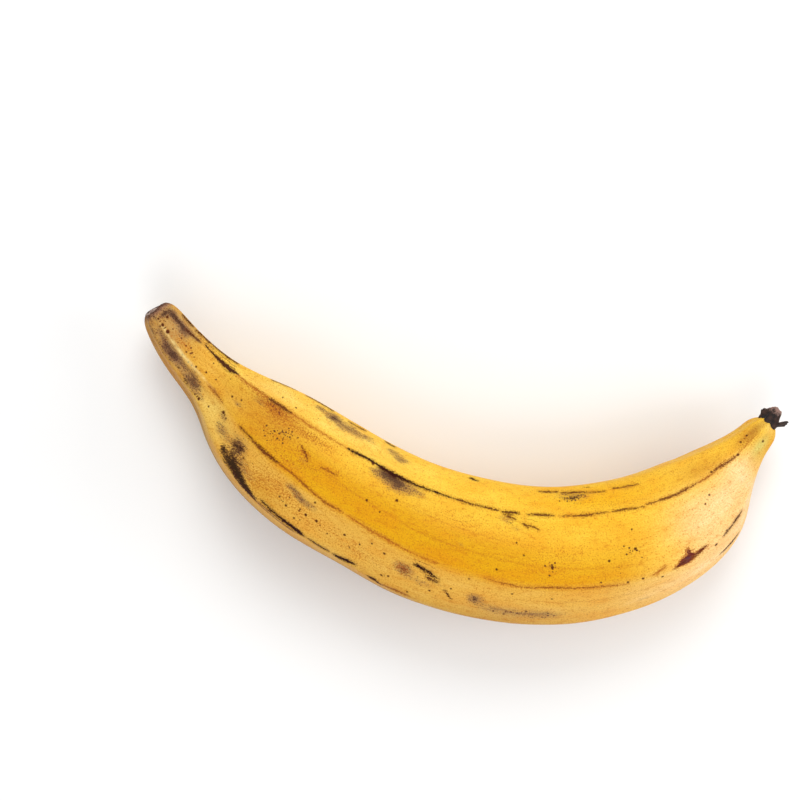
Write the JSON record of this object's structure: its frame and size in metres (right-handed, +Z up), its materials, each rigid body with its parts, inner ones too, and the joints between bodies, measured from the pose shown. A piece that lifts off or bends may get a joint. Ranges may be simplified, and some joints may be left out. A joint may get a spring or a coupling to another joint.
{
  "type": "plantain",
  "caption": "Ripe plantain lying on its side: long curved fruit with ridged yellow peel, a cut stem neck at one end and a withered flower stub at the blunt tip.",
  "frame": {"origin": "centre of the fruit's bounding box in plan, on the surface that it rests on", "axes": "+X along the fruit's long way, from the cut stem to the tip; +Y towards the hollow side of the curve; +Z up"},
  "size_m": [0.229, 0.0898, 0.0462],
  "materials": {
    "peel": "semi-matte waxy peel, golden yellow with brown bruises and specks"
  },
  "bodies": {
    "root": {"plantain": "peel"}
  },
  "joints": []
}
